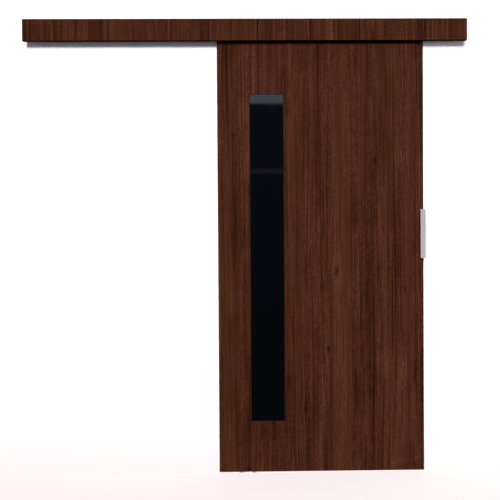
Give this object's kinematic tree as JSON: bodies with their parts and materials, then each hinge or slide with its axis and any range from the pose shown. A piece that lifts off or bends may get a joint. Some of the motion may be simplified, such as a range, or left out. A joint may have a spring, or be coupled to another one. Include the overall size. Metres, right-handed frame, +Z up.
{
  "type": "wall mounted sliding door",
  "caption": "Dark walnut sliding door leaf with a black glass strip and an edge pull, hung from a wall track behind a long fascia board.",
  "frame": {"origin": "on the wall plane, at the middle of the track, on the line of the wall screws, 2078 mm above the finished floor", "axes": "+X along the track towards the handle side, +Y into the wall, +Z up"},
  "size_m": [2.046, 0.08, 2.11],
  "materials": {
    "walnut_laminate": "dark walnut laminate with a straight upright grain, satin",
    "walnut_edge": "matching edge banding, satin",
    "black_glass": "back-painted black glass, polished",
    "black_sealant": "black silicone joint, matt",
    "mounting_tape": "foam mounting tape",
    "satin_aluminium": "fine satin, anodised",
    "anodised_aluminium": "mill finish, anodised",
    "zinc_plated_plate": "zinc plated",
    "cast_zinc": "plain die-cast zinc",
    "black_rubber": "moulded rubber",
    "wheel_nylon": "natural nylon",
    "guide_nylon": "pale nylon",
    "bearing_steel": "ground steel",
    "zinc_plated_fasteners": "zinc plated"
  },
  "bodies": {
    "wall_frame": {"angle_bolts": "zinc_plated_fasteners", "angle_nuts": "zinc_plated_fasteners", "end_stop_left": "cast_zinc", "end_stop_right": "cast_zinc", "fascia_angle_1": "zinc_plated_plate", "fascia_angle_2": "zinc_plated_plate", "fascia_angle_3": "zinc_plated_plate", "fascia_angle_4": "zinc_plated_plate", "fascia_angle_5": "zinc_plated_plate", "fascia_band_bottom": "walnut_edge", "fascia_band_ends": "walnut_edge", "fascia_band_top": "walnut_edge", "fascia_board": "walnut_laminate", "fascia_screws": "zinc_plated_fasteners", "guide_fin": "guide_nylon", "guide_fin_screws": "zinc_plated_fasteners", "guide_plate": "zinc_plated_plate", "stop_buffer_left": "black_rubber", "stop_buffer_right": "black_rubber", "stop_set_screws": "zinc_plated_fasteners", "track_bolts": "zinc_plated_fasteners", "track_nuts": "zinc_plated_fasteners", "track_rail": "anodised_aluminium", "track_washers": "zinc_plated_fasteners", "wall_bracket_1": "zinc_plated_plate", "wall_bracket_2": "zinc_plated_plate", "wall_bracket_3": "zinc_plated_plate", "wall_bracket_4": "zinc_plated_plate", "wall_bracket_5": "zinc_plated_plate"},
    "leaf": {"axles_1": "bearing_steel", "axles_2": "bearing_steel", "bearing_inner_rings_1": "bearing_steel", "bearing_inner_rings_2": "bearing_steel", "bottom_channel": "anodised_aluminium", "carriage_body_1": "cast_zinc", "carriage_body_2": "cast_zinc", "glass_seal": "black_sealant", "glass_strip": "black_glass", "glass_tapes": "mounting_tape", "handle": "satin_aluminium", "handle_screws": "zinc_plated_fasteners", "hanger_bolt_1": "zinc_plated_fasteners", "hanger_bolt_2": "zinc_plated_fasteners", "hanger_nuts": "zinc_plated_fasteners", "hanger_plate_1": "zinc_plated_plate", "hanger_plate_2": "zinc_plated_plate", "hanger_plate_screws": "zinc_plated_fasteners", "leaf_band_left": "walnut_edge", "leaf_band_right": "walnut_edge", "leaf_band_top": "walnut_edge", "leaf_board": "walnut_laminate"},
    "wheelset_1": {"bearing_outer_rings_1": "bearing_steel", "wheel_tyres_1": "wheel_nylon"},
    "wheelset_2": {"bearing_outer_rings_2": "bearing_steel", "wheel_tyres_2": "wheel_nylon"},
    "wheelset_3": {"bearing_outer_rings_3": "bearing_steel", "wheel_tyres_3": "wheel_nylon"},
    "wheelset_4": {"bearing_outer_rings_4": "bearing_steel", "wheel_tyres_4": "wheel_nylon"}
  },
  "joints": [
    {"name": "leaf_slide", "type": "slide", "parent": "wall_frame", "child": "leaf", "axis": [1, 0, 0], "range_m": [-0.796, 0.104]},
    {"name": "wheel_spin_1", "type": "hinge", "parent": "leaf", "child": "wheelset_1", "pos_m": [-0.046, -0.025, -0.00385], "axis": [0, 1, 0], "continuous": true},
    {"name": "wheel_spin_2", "type": "hinge", "parent": "leaf", "child": "wheelset_2", "pos_m": [-0.002, -0.025, -0.00385], "axis": [0, 1, 0], "continuous": true},
    {"name": "wheel_spin_3", "type": "hinge", "parent": "leaf", "child": "wheelset_3", "pos_m": [0.694, -0.025, -0.00385], "axis": [0, 1, 0], "continuous": true},
    {"name": "wheel_spin_4", "type": "hinge", "parent": "leaf", "child": "wheelset_4", "pos_m": [0.738, -0.025, -0.00385], "axis": [0, 1, 0], "continuous": true}
  ],
  "couplings": [
    {"joint": "wheel_spin_1", "follows": "leaf_slide", "rad_per_m": 100},
    {"joint": "wheel_spin_2", "follows": "leaf_slide", "rad_per_m": 100},
    {"joint": "wheel_spin_3", "follows": "leaf_slide", "rad_per_m": 100},
    {"joint": "wheel_spin_4", "follows": "leaf_slide", "rad_per_m": 100}
  ]
}
